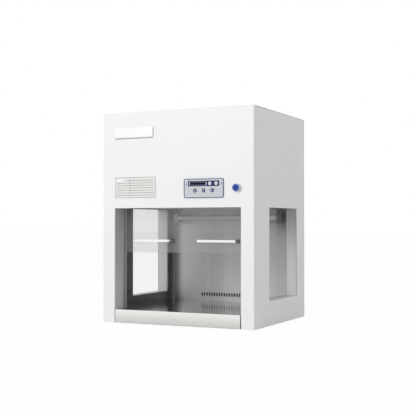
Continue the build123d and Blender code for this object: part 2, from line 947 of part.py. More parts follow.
# ---------------------------------------------------------------- control panel
cutout_width = panel_width - 2 * panel_margin
cutout_height = panel_height - 2 * panel_margin
lens_z = panel_z + lens_rise
panel_face = front - panel_thickness
with BuildPart() as control_panel:
    with BuildSketch(front_plane(front)):
        with Locations((panel_x, panel_z)):
            RectangleRounded(panel_width, panel_height, panel_radius)
    extrude(amount=panel_thickness + panel_rim_height)
    # Inside the raised rim the face is flat, with a shallow seat for the display lens
    with BuildSketch(front_plane(panel_face)):
        with Locations((panel_x, panel_z)):
            RectangleRounded(
                panel_width - 2 * panel_rim,
                panel_height - 2 * panel_rim,
                panel_radius - panel_rim / 2,
            )
    extrude(amount=panel_rim_height, mode=Mode.SUBTRACT)
    with BuildSketch(front_plane(panel_face)):
        with Locations((panel_x, lens_z)):
            Rectangle(lens_width, lens_height)
    extrude(amount=-lens_thickness, mode=Mode.SUBTRACT)
    # Bosses that carry the circuit board
    with BuildSketch(front_plane(board_y)):
        with Locations((panel_x, panel_z)):
            with GridLocations(cutout_width - 3 * boss_radius, cutout_height - 3 * boss_radius, 2, 2):
                Circle(boss_radius)
    extrude(amount=board_behind)
    # Holes for the keys and the display
    with BuildSketch(front_plane(front)):
        with Locations((panel_x, panel_z - lower_key_drop)):
            with GridLocations(lower_key_pitch, 1, 3, 1):
                Circle(key_radius + key_play)
        with Locations(*[(panel_x + shift, lens_z) for shift in lens_key_shifts]):
            Circle(key_radius + key_play)
        with Locations((panel_x + display_shift, lens_z)):
            Rectangle(display_width + 2 * key_play, display_height + 2 * key_play)
    extrude(amount=panel_thickness, mode=Mode.SUBTRACT)
write(control_panel.part, "control_panel")

with BuildPart() as display_lens:
    with BuildSketch(front_plane(panel_face + lens_thickness)):
        with Locations((panel_x, lens_z)):
            Rectangle(lens_width, lens_height)
        with Locations(*[(panel_x + shift, lens_z) for shift in lens_key_shifts]):
            Circle(key_radius + key_play, mode=Mode.SUBTRACT)
        with Locations((panel_x + display_shift, lens_z)):
            Rectangle(display_width + 2 * key_play, display_height + 2 * key_play, mode=Mode.SUBTRACT)
    extrude(amount=lens_thickness)
write(display_lens.part, "display_lens")

with BuildPart() as display_module:
    with BuildSketch(front_plane(front + sheet)):
        with Locations((panel_x + display_shift, lens_z)):
            Rectangle(display_width, display_height)
    extrude(amount=sheet + panel_thickness)
    with BuildSketch(front_plane(board_y)):
        with Locations((panel_x + display_shift, lens_z)):
            Rectangle(display_width + flange / 3, 2 * display_height)
    extrude(amount=board_behind - sheet)
write(display_module.part, "display_module")

key_places = {
    "key_fan": (panel_x - lower_key_pitch, panel_z - lower_key_drop),
    "key_light": (panel_x, panel_z - lower_key_drop),
    "key_uv": (panel_x + lower_key_pitch, panel_z - lower_key_drop),
    "key_down": (panel_x + lens_key_shifts[0], lens_z),
    "key_up": (panel_x + lens_key_shifts[1], lens_z),
}
stem_width = key_radius * 0.7
stem_end = board_y - switch_height - key_travel - key_play
for key_name, (key_x, key_z) in key_places.items():
    with BuildPart() as key:
        # A bevelled cap in the panel, a collar that stops it from falling out and a square stem
        with BuildSketch(front_plane(front)):
            with Locations((key_x, key_z)):
                Circle(key_radius)
        extrude(amount=panel_thickness + key_proud)
        chamfer(key.edges().group_by(Axis.Y)[0], key_bevel)
        with BuildSketch(front_plane(front + sheet)):
            with Locations((key_x, key_z)):
                Circle(key_radius + key_collar)
        extrude(amount=sheet)
        with BuildSketch(front_plane(stem_end)):
            with Locations((key_x, key_z)):
                Rectangle(stem_width, stem_width)
        extrude(amount=stem_end - front - sheet)
    write(key.part, key_name)

with BuildPart() as control_board:
    # The circuit board with a switch behind each key, and its parts at the back
    with BuildSketch(front_plane(board_y)):
        with Locations((panel_x, panel_z)):
            Rectangle(panel_width - 2 * board_margin, panel_height - 2 * board_margin)
    extrude(amount=-board_thickness)
    with BuildSketch(front_plane(board_y)):
        with Locations(*key_places.values()):
            Rectangle(switch_size, switch_size)
    extrude(amount=switch_height)
    with BuildSketch(front_plane(board_y + board_thickness)):
        with Locations((panel_x - panel_width / 4, panel_z)):
            Rectangle(3 * switch_size, 2 * switch_size)
        with Locations((panel_x + panel_width / 8, panel_z + switch_size)):
            Rectangle(4 * switch_size, switch_size)
    extrude(amount=-3 * switch_height)
    with BuildSketch(front_plane(board_y + board_thickness)):
        with Locations((panel_x + panel_width / 3.5, panel_z)):
            Circle(switch_size * 0.8)
    extrude(amount=-2 * switch_size)
write(control_board.part, "control_board")

# ---------------------------------------------------------------- power button
button_axis = Axis((button_x, front, button_z), (0, 1, 0))
button_plane = Plane(origin=(button_x, 0, button_z), x_dir=(0, 1, 0), z_dir=(1, 0, 0))
bore_radius = button_cap_radius + button_play
bezel_face = front - button_proud
cap_back = front - button_shoulder
bore_end = cap_back + button_travel + button_stop_gap
stem_bore = bore_radius - button_shoulder
barrel_end = front + button_body_length
with BuildPart() as power_button_bezel:
    with BuildSketch(button_plane):
        with BuildLine():
            Polyline(
                (bezel_face, bore_radius),
                (bezel_face, button_front_radius - button_bevel),
                (bezel_face + button_bevel, button_front_radius),
                (front - button_flange, button_bezel_radius),
                (front, button_bezel_radius),
                (front, button_hole_radius),
                (barrel_end, button_hole_radius),
                (barrel_end, stem_bore),
                (bore_end, stem_bore),
                (bore_end, bore_radius),
                close=True,
            )
        make_face()
    revolve(axis=button_axis)
write(power_button_bezel.part, "power_button_bezel")

with BuildPart() as power_button:
    with BuildSketch(button_plane):
        with BuildLine():
            Polyline(
                (bezel_face - button_cap_rise, 0),
                (bezel_face - button_cap_rise, button_cap_radius - button_bevel),
                (bezel_face, button_cap_radius),
                (cap_back, button_cap_radius),
                (cap_back, stem_bore - button_play),
                (barrel_end - button_travel - button_play, stem_bore - button_play),
                (barrel_end - button_travel - button_play, 0),
                close=True,
            )
        make_face()
    revolve(axis=button_axis)
write(power_button.part, "power_button")

with BuildPart() as button_nut:
    with BuildSketch(front_plane(front + sheet)):
        with Locations((button_x, button_z)):
            RegularPolygon(button_bezel_radius + nut_margin, 6, major_radius=False)
            Circle(button_hole_radius + button_play / 3, mode=Mode.SUBTRACT)
    extrude(amount=-nut_thickness)
write(button_nut.part, "button_nut")

with BuildPart() as contact_module:
    with BuildSketch(front_plane(barrel_end)):
        with Locations((button_x, button_z)):
            RectangleRounded(contact_size, contact_size, contact_round)
    extrude(amount=-contact_block * 0.7)
    with BuildSketch(front_plane(barrel_end + contact_block * 0.7)):
        with Locations((button_x, button_z)):
            with GridLocations(contact_size * 0.6, contact_size * 0.5, 2, 2):
                Rectangle(contact_size * 0.25, terminal_thickness)
    extrude(amount=-contact_block * 0.3)
write(contact_module.part, "contact_module")

# ---------------------------------------------------------------- plates on the header
with BuildPart() as nameplate:
    with BuildSketch(front_plane(front)):
        with Locations((nameplate_from_left - half_width, top - nameplate_drop)):
            RectangleRounded(nameplate_width, nameplate_height, nameplate_radius)
    extrude(amount=nameplate_thickness)
    chamfer(nameplate.faces().sort_by(Axis.Y)[0].edges(), nameplate_thickness * 0.3)
write(nameplate.part, "nameplate")

with BuildPart() as rating_plate:
    with BuildSketch(front_plane(front)):
        with Locations((rating_from_left - half_width, opening_top_z + rating_rise)):
            RectangleRounded(rating_width, rating_height, rating_radius)
    extrude(amount=rating_thickness)
write(rating_plate.part, "rating_plate")

# ---------------------------------------------------------------- electrical
box_z = deck_z + sheet
box_y = plenum_y + box_shift
box_x = (duct_half + skin_inside) / 2
with BuildPart() as power_supply:
    # A cased supply with a mounting tab at each end
    with BuildSketch(Plane.XY.offset(box_z)):
        with Locations((-box_x, box_y)):
            Rectangle(box_width, box_length)
    extrude(amount=box_height)
    chamfer(power_supply.edges().group_by(Axis.Z)[-1], box_bevel)
    with BuildSketch(Plane.XY.offset(box_z)):
        with Locations((-box_x, box_y)):
            Rectangle(box_width * 0.4, box_length + 2 * flange)
    extrude(amount=sheet)
write(power_supply.part, "power_supply")

with BuildPart() as uv_ballast:
    with BuildSketch(front_plane(box_y - ballast_length / 2)):
        with BuildLine():
            Polyline(
                (box_x - ballast_width / 2, box_z),
                (box_x + ballast_width / 2, box_z),
                (box_x + ballast_width / 2, box_z + ballast_height - ballast_bevel),
                (box_x + ballast_width / 2 - ballast_bevel, box_z + ballast_height),
                (box_x - ballast_width / 2 + ballast_bevel, box_z + ballast_height),
                (box_x - ballast_width / 2, box_z + ballast_height - ballast_bevel),
                close=True,
            )
        make_face()
    extrude(amount=-ballast_length)
write(uv_ballast.part, "uv_ballast")

inlet_places = [(inlet_x, inlet_z)]
with BuildPart() as mains_inlet:
    with BuildSketch(front_plane(back)):
        with Locations(*inlet_places):
            RectangleRounded(inlet_flange_width, inlet_flange_height, inlet_bevel)
    extrude(amount=-inlet_flange_thickness)
    with BuildSketch(front_plane(back)):
        with Locations(*inlet_places):
            Rectangle(inlet_width + 2 * inlet_wall, inlet_height + 2 * inlet_wall)
    extrude(amount=inlet_depth)
    # The socket, with its two lower corners cut off, and its three flat pins
    with BuildSketch(front_plane(back + inlet_flange_thickness)):
        with Locations(*inlet_places):
            socket_outline = Rectangle(inlet_width, inlet_height)
            chamfer(socket_outline.vertices().group_by(Axis.Y)[0], inlet_bevel)
    extrude(amount=inlet_depth, mode=Mode.SUBTRACT)
    with BuildSketch(front_plane(back + inlet_flange_thickness - inlet_depth)):
        with Locations((inlet_x, inlet_z + pin_thickness)):
            with GridLocations(2 * pin_spacing, 1, 2, 1):
                Rectangle(pin_thickness, pin_width)
        with Locations((inlet_x, inlet_z - pin_thickness)):
            Rectangle(pin_thickness, pin_width)
    extrude(amount=-pin_length)
write(mains_inlet.part, "mains_inlet")
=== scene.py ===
"""Looks, light and camera for the compact laminar flow hood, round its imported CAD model.

Metres, in the model's own frame: +Z up, the user at -Y, +X on the user's right. Places are worked
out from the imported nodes' boxes; the sizes here are those of finishes, prints and small fasteners.

Some finishes are darker or lighter by place on the object, to match shadows and reflections that
the photograph shows and the plain light of this scene doesn't give.
"""

import math

import bmesh
import bpy
from mathutils import Matrix, Vector


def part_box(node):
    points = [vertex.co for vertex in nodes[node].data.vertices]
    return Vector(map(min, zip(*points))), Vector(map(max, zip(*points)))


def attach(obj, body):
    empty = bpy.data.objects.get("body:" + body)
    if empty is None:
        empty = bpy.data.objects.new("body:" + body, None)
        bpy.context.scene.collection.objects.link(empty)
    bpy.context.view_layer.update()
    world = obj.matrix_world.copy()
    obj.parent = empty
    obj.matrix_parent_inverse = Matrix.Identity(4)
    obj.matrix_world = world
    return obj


MM = 0.001

# The work opening's upper edge and the right window's reveal
OPENING_TOP = 0.3495
WINDOW_LOW = Vector((0.2182, -0.0900, 0.0750))
WINDOW_HIGH = Vector((0.2500, 0.1400, 0.3500))
WINDOW_MIDDLE = (WINDOW_LOW + WINDOW_HIGH) / 2
WINDOW_HALF = (WINDOW_HIGH - WINDOW_LOW) / 2

# Side panels: the skin, the painted shade along the top edge and its darker front part, and how
# far above the window's bottom the right window's reveal stays free of painted shade
SKIN = 1.4 * MM
SEAM_SHADE_HEIGHT = 1.7 * MM
SEAM_SHADE_FRONT_LENGTH = 75 * MM
REVEAL_UNSHADED_HEIGHT = 95 * MM

# Rear wall: painted shade down the left, along the top joint and in the top right corner.
# Each pair of places is where a fade starts and where it ends.
LEFT_SHADE_OUTER = (-0.213, -0.200)
LEFT_SHADE_INNER = (-0.172, -0.198)
LEFT_SHADE_LEVEL = 0.47
JOINT_HEIGHT = 3.6 * MM
JOINT_SHADE = 0.45
CORNER_ACROSS = (0.06, 0.12)
CORNER_LEVELS = (0.25, 0.345)
CORNER_SHADES = (0.98, 0.40)

# Prints, rims and lips, and the spans of the apron's painted reflection and the plate's painted
# shade
APRON_DEPTH = 2.2 * MM
LIP_WIDTH = 10.5 * MM
TUBE_CAP_LENGTH = 12 * MM
PANEL_RIM = 2.9 * MM
PANEL_LINE = 1.2 * MM
DISPLAY_HALF = 26 * MM
BRACKET_WIDTH = 2.0 * MM
BRACKET_HALF_HEIGHT = 4.4 * MM
DIGIT_BAR_HALF = 2.6 * MM
KEY_RING_RADIUS = 4.9 * MM
RULE_PITCH = 7.4 * MM
RULE_SHARE = 0.16
LABEL_MARGIN = 5 * MM
LABEL_BORDER = 1.0 * MM
PLATE_SHADE_BOTTOM = 3.4 * MM
PLATE_SHADE_RIGHT = 2.0 * MM
RINGS_PER_METRE = 900.0
PRINT_THICKNESS = 0.12 * MM

# Screws: radius of the head, the turn from one to the next in radians, and the head's profile
# as shares of its radius and height
CASE_SCREW = 3.4 * MM
PANEL_SCREW = 1.7 * MM
SCREW_TURN = 0.7
HEAD_HEIGHT_SHARE = 0.55
HEAD_PROFILE = ((1.0, 0.0), (1.0, 0.35), (0.93, 0.7), (0.75, 1.0))
# Cross recess: its arm and half width as shares of the radius, its level as a share of the height
RECESS_MOUTH = (0.52, 0.12, 1.0)
RECESS_FLOOR = (0.34, 0.10, 0.35)

# Camera, solved from the cabinet's edges in the photograph: degrees, and millimetres of lens
CAMERA_PLACE = (1.2157, -2.5012, 0.3006)
CAMERA_YAW = 25.8
CAMERA_PITCH = 1.06
CAMERA_LENS = 76.4
SENSOR = 36.0

# Light: the even light round the object, how white the camera sees the floor, and the lamps
AMBIENT = 0.50
FLOOR_WHITE = 0.96
FLOOR_REACH = 30.0
LAMP_TARGET = Vector((0, 0, 0.32))
LAMPS = (
    # name, place, width, power
    ("key", (-1.2, -4.2, 2.2), 3.0, 88.0),
    ("fill", (4.0, -1.0, 1.6), 2.5, 3.0),
    ("top", (0.0, 0.4, 4.0), 3.0, 25.0),
)

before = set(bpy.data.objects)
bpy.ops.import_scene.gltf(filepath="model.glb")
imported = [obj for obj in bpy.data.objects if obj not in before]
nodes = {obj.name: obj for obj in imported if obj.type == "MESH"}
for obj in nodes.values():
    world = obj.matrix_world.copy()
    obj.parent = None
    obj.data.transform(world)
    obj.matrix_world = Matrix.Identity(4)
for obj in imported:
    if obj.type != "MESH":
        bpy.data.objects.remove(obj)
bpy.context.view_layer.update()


# ---------------------------------------------------------------- node helpers
class Nodes:
    """A node tree, with short calls for the nodes that the finishes and the world share."""

    def __init__(self, node_tree):
        self.nodes = node_tree.nodes
        self.links = node_tree.links

    def add(self, kind, **settings):
        """A new node with its settings."""
        node = self.nodes.new(kind)
        for key, value in settings.items():
            setattr(node, key, value)
        return node

    def join(self, source, target):
        """Links two sockets."""
        self.links.new(source, target)

    def put(self, socket, value):
        """Links a socket, or sets its value where it is a plain number or colour."""
        if isinstance(value, bpy.types.NodeSocket):
            self.join(value, socket)
        else:
            socket.default_value = value

    def math(self, operation, first, second=0.0):
        """A sum, product or comparison of two values."""
        node = self.add("ShaderNodeMath", operation=operation)
        self.put(node.inputs[0], first)
        self.put(node.inputs[1], second)
        return node.outputs[0]

    def spread(self, value, low, high):
        """Maps 0..1 to low..high."""
        node = self.add("ShaderNodeMapRange")
        self.put(node.inputs["Value"], value)
        node.inputs["To Min"].default_value = low
        node.inputs["To Max"].default_value = high
        return node.outputs["Result"]

    def fade(self, value, start, end):
        """0 at start, 1 at end, smooth between."""
        node = self.add("ShaderNodeMapRange", interpolation_type="SMOOTHSTEP")
        self.put(node.inputs["Value"], value)
        node.inputs["From Min"].default_value = start
        node.inputs["From Max"].default_value = end
        return node.outputs["Result"]

    def blend(self, data_type, share, first, second):
        """A mix of two colours (RGBA) or two numbers (FLOAT)."""
        node = self.add("ShaderNodeMix", data_type=data_type)
        self.put(node.inputs["Factor"], share)
        self.put(node.inputs["A"], first)
        self.put(node.inputs["B"], second)
        return node.outputs["Result"]

    def mix(self, share, first, second):
        """A mix of two colours."""
        return self.blend("RGBA", share, first, second)

    def mix_value(self, share, first, second):
        """A mix of two numbers."""
        return self.blend("FLOAT", share, first, second)

    def mix_shader(self, share, first, second):
        """A mix of two shaders."""
        node = self.add("ShaderNodeMixShader")
        for socket, value in zip(node.inputs, (share, first, second)):
            self.join(value, socket)
        return node.outputs[0]


class Tree(Nodes):
    """A material's nodes; a second Tree with the same name adds to the material that is there."""

    def __init__(self, name):
        self.material = bpy.data.materials.get(name) or bpy.data.materials.new(name)
        self.material.use_nodes = True
        super().__init__(self.material.node_tree)
        self.shader = self.nodes["Principled BSDF"]
        self.output = self.nodes["Material Output"]

    def place(self):
        """The point on the piece, in the frame's metres."""
        return self.add("ShaderNodeTexCoord").outputs["Object"]

    def stretched(self, scale):
        """The point with each axis scaled, for grain that runs one way."""
        mapping = self.add("ShaderNodeMapping")
        self.join(self.place(), mapping.inputs["Vector"])
        mapping.inputs["Scale"].default_value = scale
        return mapping.outputs["Vector"]

    def axis(self, letter):
        """One coordinate of the point."""
        split = self.add("ShaderNodeSeparateXYZ")
        self.join(self.place(), split.inputs["Vector"])
        return split.outputs[letter]

    def noise(self, vector, scale, detail=3.0, roughness=0.5):
        """Smooth noise from 0 to 1."""
        node = self.add("ShaderNodeTexNoise")
        self.join(vector, node.inputs["Vector"])
        node.inputs["Scale"].default_value = scale
        node.inputs["Detail"].default_value = detail
        node.inputs["Roughness"].default_value = roughness
        return node.outputs["Fac"]

    def radius(self, middle, letters):
        """The distance from a middle, measured along two axes."""
        squares = []
        for letter in letters:
            away = self.math("SUBTRACT", self.axis(letter), coordinate(middle, letter))
            squares.append(self.math("POWER", away, 2))
        return self.math("SQRT", self.math("ADD", *squares))

    # Masks: 1 on a part of the piece, 0 elsewhere
    def below(self, letter, level):
        """1 where a coordinate is under a level."""
        return self.math("LESS_THAN", self.axis(letter), level)

    def above(self, letter, level):
        """1 where a coordinate is over a level."""
        return self.math("GREATER_THAN", self.axis(letter), level)

    def near(self, letter, middle, reach):
        """1 where a coordinate is within reach of a middle; a middle of 0 covers both sides."""
        away = self.math("ABSOLUTE", self.math("SUBTRACT", self.axis(letter), middle))
        return self.math("LESS_THAN", away, reach)

    def both(self, first, second):
        """1 where two masks are; two fades are multiplied."""
        return self.math("MULTIPLY", first, second)

    def either(self, first, second):
        """1 where one of two masks is."""
        return self.math("MAXIMUM", first, second)

    def without(self, mask):
        """1 where a mask isn't."""
        return self.math("SUBTRACT", 1.0, mask)

    def inside(self, letters, middle, half, margin=0.0):
        """1 inside a rectangle along two axes, drawn in on each side by a margin."""
        first, second = (
            self.near(letter, coordinate(middle, letter), coordinate(half, letter) - margin)
            for letter in letters
        )
        return self.both(first, second)

    # What the shader is given
    def set(self, **values):
        """Sets the shader's sockets by name, with spaces as underscores."""
        for key, value in values.items():
            self.put(self.shader.inputs[key.replace("_", " ")], value)

    def base(self):
        """What is linked to the base colour so far."""
        return self.shader.inputs["Base Color"].links[0].from_socket

    def paint_over(self, mask, tint):
        """Changes the base colour to a tint under a mask."""
        self.set(Base_Color=self.mix(mask, self.base(), tint))

    def bump(self, height, distance, strength=1.0, round_edges=0.0):
        """A bump on the shader's normal, over edges softened by a small radius."""
        node = self.add("ShaderNodeBump")
        self.join(height, node.inputs["Height"])
        node.inputs["Distance"].default_value = distance
        node.inputs["Strength"].default_value = strength
        if round_edges:
            bevel = self.add("ShaderNodeBevel", samples=6)
            bevel.inputs["Radius"].default_value = round_edges
            self.join(bevel.outputs["Normal"], node.inputs["Normal"])
        self.join(node.outputs["Normal"], self.shader.inputs["Normal"])


def colour(red, green, blue):
    """A colour as the eye reads it, 0..255, made linear."""
    def linear(value):
        value /= 255
        return value / 12.92 if value <= 0.04045 else ((value + 0.055) / 1.055) ** 2.4

    return (linear(red), linear(green), linear(blue), 1.0)


def grey(level):
    """A neutral colour, 0..255."""
    return colour(level, level, level)


def coordinate(vector, letter):
    """A vector's part on the axis X, Y or Z."""
    return vector["XYZ".index(letter)]


def shade(rgba, factor):
    """A colour made lighter or darker."""
    return (*(min(1.0, channel * factor) for channel in rgba[:3]), 1.0)


def middle_and_half(name):
    """The middle of a node's box, and half its size."""
    low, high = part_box(name)
    return (low + high) / 2, (high - low) / 2


def dress(material, *names):
    """Gives CAD nodes their finish."""
    for name in names:
        slots = nodes[name].data.materials
        slots.clear()
        slots.append(material)


# ---------------------------------------------------------------- finishes
WHITE = colour(240, 240, 241)
PRINTED_NAVY = colour(16, 22, 84)


def powder_coat(name):
    """Sprayed and baked white paint: a fine orange peel and barely uneven colour."""
    tree = Tree(name)
    place = tree.place()
    cloud = tree.noise(place, scale=9.0, detail=2.0)
    peel = tree.noise(place, scale=900.0, roughness=0.6)
    wide = tree.noise(place, scale=140.0, detail=2.0)
    tree.set(
        Base_Color=tree.mix(cloud, shade(WHITE, 0.985), shade(WHITE, 1.012)),
        Roughness=tree.spread(peel, 0.37, 0.48),
    )
    height = tree.math("ADD", tree.math("MULTIPLY", peel, 0.6), wide)
    tree.bump(height, distance=0.06 * MM, strength=0.5, round_edges=0.7 * MM)
    return tree.material


def brushed_steel(name, tint, roughness, along, band=0.0):
    """Brushed sheet: fine grain along one direction, and soft bands across it."""
    tree = Tree(name)
    grain_scale = tuple(12.0 if letter == along else 1400.0 for letter in "XYZ")
    grain = tree.noise(tree.stretched(grain_scale), scale=1.0, detail=4.0, roughness=0.65)
    base = tree.mix(grain, shade(tint, 0.93), shade(tint, 1.05))
    if band:
        streak_scale = tuple(0.4 if letter == along else 26.0 for letter in "XYZ")
        streak_and_shade = tree.noise(tree.stretched(streak_scale), scale=1.0, detail=2.0)
        base = tree.mix(tree.fade(streak_and_shade, 0.35, 0.65), shade(tint, 1 - band), base)
    tree.set(
        Base_Color=base,
        Metallic=1.0,
        Roughness=tree.spread(grain, roughness - 0.05, roughness + 0.07),
    )
    tree.bump(grain, distance=0.02 * MM, strength=0.35, round_edges=0.4 * MM)
    return tree.material


def spangled_zinc(name, tint):
    """Galvanised sheet with its frozen crystal pattern."""
    tree = Tree(name)
    crystals = tree.add("ShaderNodeTexVoronoi")
    tree.join(tree.place(), crystals.inputs["Vector"])
    crystals.inputs["Scale"].default_value = 110.0
    tone = tree.add("ShaderNodeSeparateColor")
    tree.join(crystals.outputs["Color"], tone.inputs["Color"])
    patch = tone.outputs["Red"]
    tree.set(
        Base_Color=tree.mix(patch, shade(tint, 0.86), shade(tint, 1.08)),
        Metallic=0.9,
        Roughness=tree.spread(patch, 0.34, 0.52),
    )
    tree.bump(patch, distance=0.02 * MM, strength=0.3, round_edges=0.4 * MM)
    return tree.material


def moulded(name, tint, roughness, texture=500.0, depth=0.05 * MM, coat=0.0):
    """Moulded plastic: a fine spark-eroded texture and slight gloss changes."""
    tree = Tree(name)
    place = tree.place()
    fine = tree.noise(place, scale=texture, roughness=0.6)
    cloud = tree.noise(place, scale=30.0, detail=2.0)
    tree.set(
        Base_Color=tree.mix(cloud, shade(tint, 0.95), shade(tint, 1.05)),
        Roughness=tree.spread(fine, roughness - 0.05, roughness + 0.08),
        Coat_Weight=coat,
        Coat_Roughness=0.08,
    )
    tree.bump(fine, distance=depth, strength=0.4, round_edges=0.3 * MM)
    return tree.material


def rubber(name, tint):
    """Soft rubber with a dusty sheen."""
    tree = Tree(name)
    place = tree.place()
    fine = tree.noise(place, scale=1300.0, detail=4.0, roughness=0.7)
    dust = tree.noise(place, scale=60.0)
    tree.set(
        Base_Color=tree.mix(tree.fade(dust, 0.45, 0.8), tint, shade(tint, 1.8)),
        Roughness=tree.spread(fine, 0.62, 0.82),
    )
    tree.bump(fine, distance=0.08 * MM, strength=0.5, round_edges=0.4 * MM)
    return tree.material


def plate_metal(name, tint, roughness, metallic=1.0):
    """Bright plated or anodised metal with faint turning marks."""
    tree = Tree(name)
    fine = tree.noise(tree.stretched((900.0, 60.0, 900.0)), scale=1.0, roughness=0.6)
    tree.set(
        Base_Color=tree.mix(fine, shade(tint, 0.94), shade(tint, 1.04)),
        Metallic=metallic,
        Roughness=tree.spread(fine, roughness * 0.8, roughness * 1.3),
    )
    tree.bump(fine, distance=0.01 * MM, strength=0.3, round_edges=0.3 * MM)
    return tree.material


def pane(name, tint, haze, reflect):
    """Flat glass that lamps shine through: clear, with a mirror by angle and a film of dust."""
    tree = Tree(name)
    tree.nodes.remove(tree.shader)
    dust = tree.noise(tree.place(), scale=40.0, detail=4.0, roughness=0.6)
    clear = tree.add("ShaderNodeBsdfTransparent")
    clear.inputs["Color"].default_value = tint
    film = tree.add("ShaderNodeBsdfDiffuse")
    film.inputs["Color"].default_value = colour(235, 238, 238)
    hazed = tree.mix_shader(
        tree.spread(dust, haze * 0.8, haze * 1.2), clear.outputs[0], film.outputs[0]
    )
    mirror = tree.add("ShaderNodeBsdfGlossy")
    mirror.inputs["Roughness"].default_value = 0.02
    leaving = tree.add("ShaderNodeNewGeometry").outputs["Backfacing"]
    angle = tree.add("ShaderNodeFresnel")
    tree.join(tree.spread(leaving, reflect, 1 / reflect), angle.inputs["IOR"])
    whole = tree.mix_shader(angle.outputs[0], hazed, mirror.outputs[0])
    tree.join(whole, tree.output.inputs["Surface"])
    return tree.material


# ---------------------------------------------------------------- finishes of single pieces
def cabinet_paint():
    """The front's powder coat, with painted shade on the posts' inner returns, darker towards the
    top.
    """
    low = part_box("front_panel")[0]
    return_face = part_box("sash_guide_right")[0].x + 0.5 * MM
    front_fold = low.y + 3 * MM
    tree = Tree(powder_coat("front_powder_coat").name)
    inside = tree.near("X", 0.0, return_face)
    on_return = tree.both(inside, tree.above("Y", front_fold))
    shaded_jamb = tree.both(on_return, tree.below("Z", OPENING_TOP))
    painted_light_rise = tree.fade(tree.axis("Z"), low.z, OPENING_TOP)
    # painted shade on the jambs, darker towards the header
    tree.paint_over(shaded_jamb, tree.mix(painted_light_rise, colour(236, 236, 238), colour(184, 185, 188)))
    return tree.material


def side_paint():
    """The side panels' powder coat, with painted shade in the window's reveal and along the top
    edge.
    """
    low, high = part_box("side_panel_right")
    tree = Tree(powder_coat("side_powder_coat").name)

    # painted shade: the right reveal darker upwards, the left one grey, bottom and head darker
    painted_light_rise = tree.fade(tree.axis("Z"), WINDOW_LOW.z + REVEAL_UNSHADED_HEIGHT, WINDOW_HIGH.z)
    right = tree.mix(painted_light_rise, colour(240, 240, 241), colour(190, 191, 193))
    reveal = tree.mix(tree.above("X", 0.0), colour(211, 211, 212), right)
    sill_shade = tree.below("Z", WINDOW_LOW.z + 0.2 * MM)
    head = tree.above("Z", WINDOW_HIGH.z - 0.2 * MM)
    reveal = tree.mix(sill_shade, reveal, colour(206, 207, 208))
    reveal = tree.mix(head, reveal, colour(104, 105, 107))

    # painted shade along the top edge, darker over the front part
    past_front = tree.above("Y", low.y + SEAM_SHADE_FRONT_LENGTH)
    seam_shade = tree.mix(past_front, colour(86, 87, 89), colour(172, 173, 175))
    tree.paint_over(tree.above("Z", high.z - SEAM_SHADE_HEIGHT), seam_shade)
    behind_skin = tree.near("X", 0.0, high.x - SKIN)
    tree.paint_over(behind_skin, reveal)
    # painted shade on the window's rear cut edge
    cut_edge_shade = tree.both(
        tree.near("Y", WINDOW_HIGH.y, 0.1 * MM),
        tree.near("Z", WINDOW_MIDDLE.z, WINDOW_HALF.z - 0.1 * MM),
    )
    tree.paint_over(tree.both(cut_edge_shade, tree.without(behind_skin)), colour(90, 91, 93))
    return tree.material


def back_paint():
    """The back panel's powder coat, with painted shade on its inside face and the edges of its
    slots.
    """
    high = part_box("back_panel")[1]
    tree = Tree(powder_coat("back_powder_coat").name)
    # painted shade inside, so that the slots look dark
    tree.paint_over(tree.below("Y", high.y - 0.3 * MM), colour(30, 30, 31))
    return tree.material


def rear_steel():
    """The rear wall's brushed sheet with painted shade: at the left, top, corner and slot edges."""
    low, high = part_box("rear_liner")
    steel = brushed_steel("stainless_back", colour(184, 184, 185), 0.5, along="Z", band=0.10)
    tree = Tree(steel.name)
    across, level = tree.axis("X"), tree.axis("Z")
    # painted shade down the left, under the top joint and in the top right corner
    streak_and_shade = tree.both(tree.fade(across, *LEFT_SHADE_OUTER), tree.fade(across, *LEFT_SHADE_INNER))
    under_joint_shade = tree.math("LESS_THAN", level, high.z - JOINT_HEIGHT)
    left = tree.spread(streak_and_shade, 1.0, LEFT_SHADE_LEVEL)
    top = tree.spread(under_joint_shade, JOINT_SHADE, 1.0)
    corner = tree.spread(tree.fade(level, *CORNER_LEVELS), *CORNER_SHADES)
    right = tree.mix_value(tree.fade(across, *CORNER_ACROSS), 1.0, corner)
    brightness = tree.both(tree.both(left, top), right)
    tree.set(Base_Color=tree.mix(brightness, grey(0), tree.base()))
    # painted shade on the slot edges and the back face
    tree.paint_over(tree.above("Y", low.y + 0.1 * MM), colour(12, 12, 13))
    return tree.material


def worktop_steel():
    """The worktop's brushed sheet: polished on top, satin on the apron with a painted reflection."""
    low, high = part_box("worktop")
    tree = Tree(brushed_steel("stainless_worktop", grey(160), 0.14, along="X").name)
    on_apron = tree.below("Y", low.y + APRON_DEPTH)
    painted_light_rise = tree.fade(tree.axis("Z"), low.z, high.z)
    # painted reflection on the apron, lighter towards its top
    tree.paint_over(on_apron, tree.mix(painted_light_rise, colour(206, 206, 203), colour(237, 237, 234)))
    roughness = tree.shader.inputs["Roughness"].links[0].from_socket
    tree.set(
        Roughness=tree.mix_value(on_apron, roughness, 0.5),
        Metallic=tree.mix_value(on_apron, 1.0, 0.15),
    )
    return tree.material


